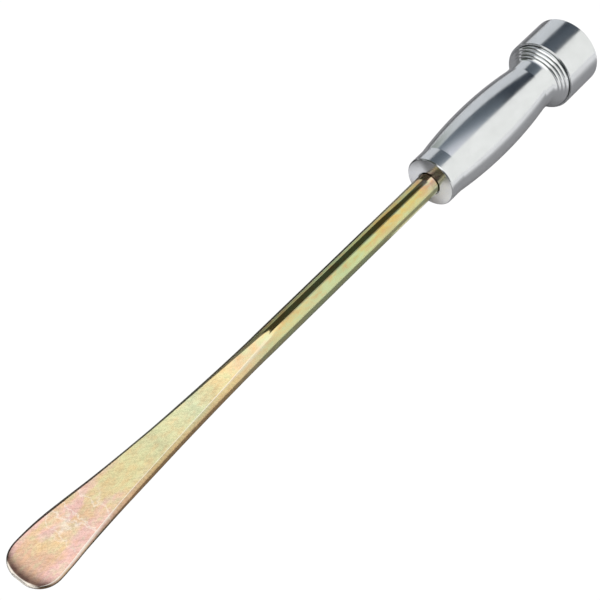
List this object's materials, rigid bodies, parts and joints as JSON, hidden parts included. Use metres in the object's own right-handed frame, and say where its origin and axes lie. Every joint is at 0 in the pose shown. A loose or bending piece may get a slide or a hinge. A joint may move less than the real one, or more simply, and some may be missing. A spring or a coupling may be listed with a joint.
{
  "type": "tyre lever",
  "caption": "Rigid tyre lever: a flat rounded spoon on a plated steel bar, held in a turned aluminium grip whose stepped round head holds a hex socket for an axle nut.",
  "frame": {"origin": "on the tool's axis, halfway along its length", "axes": "+X along the tool from the spoon to the socket head, +Z out of the spoon's working face, +Y across the spoon"},
  "size_m": [0.416, 0.039, 0.039],
  "materials": {
    "yellow_zinc_steel": "yellow-chromate zinc plate over forged steel, iridescent gold to green",
    "turned_aluminium": "fine turned and polished, faint turning lines round the tool",
    "head_aluminium": "fine turned and polished",
    "washer_zinc_steel": "bright zinc plate",
    "bright_zinc_steel": "bright zinc plate"
  },
  "bodies": {
    "root": {"lever_bar": "yellow_zinc_steel", "grip": "turned_aluminium", "socket_head": "head_aluminium", "clamp_washer": "washer_zinc_steel", "lock_nut": "bright_zinc_steel"}
  },
  "joints": []
}
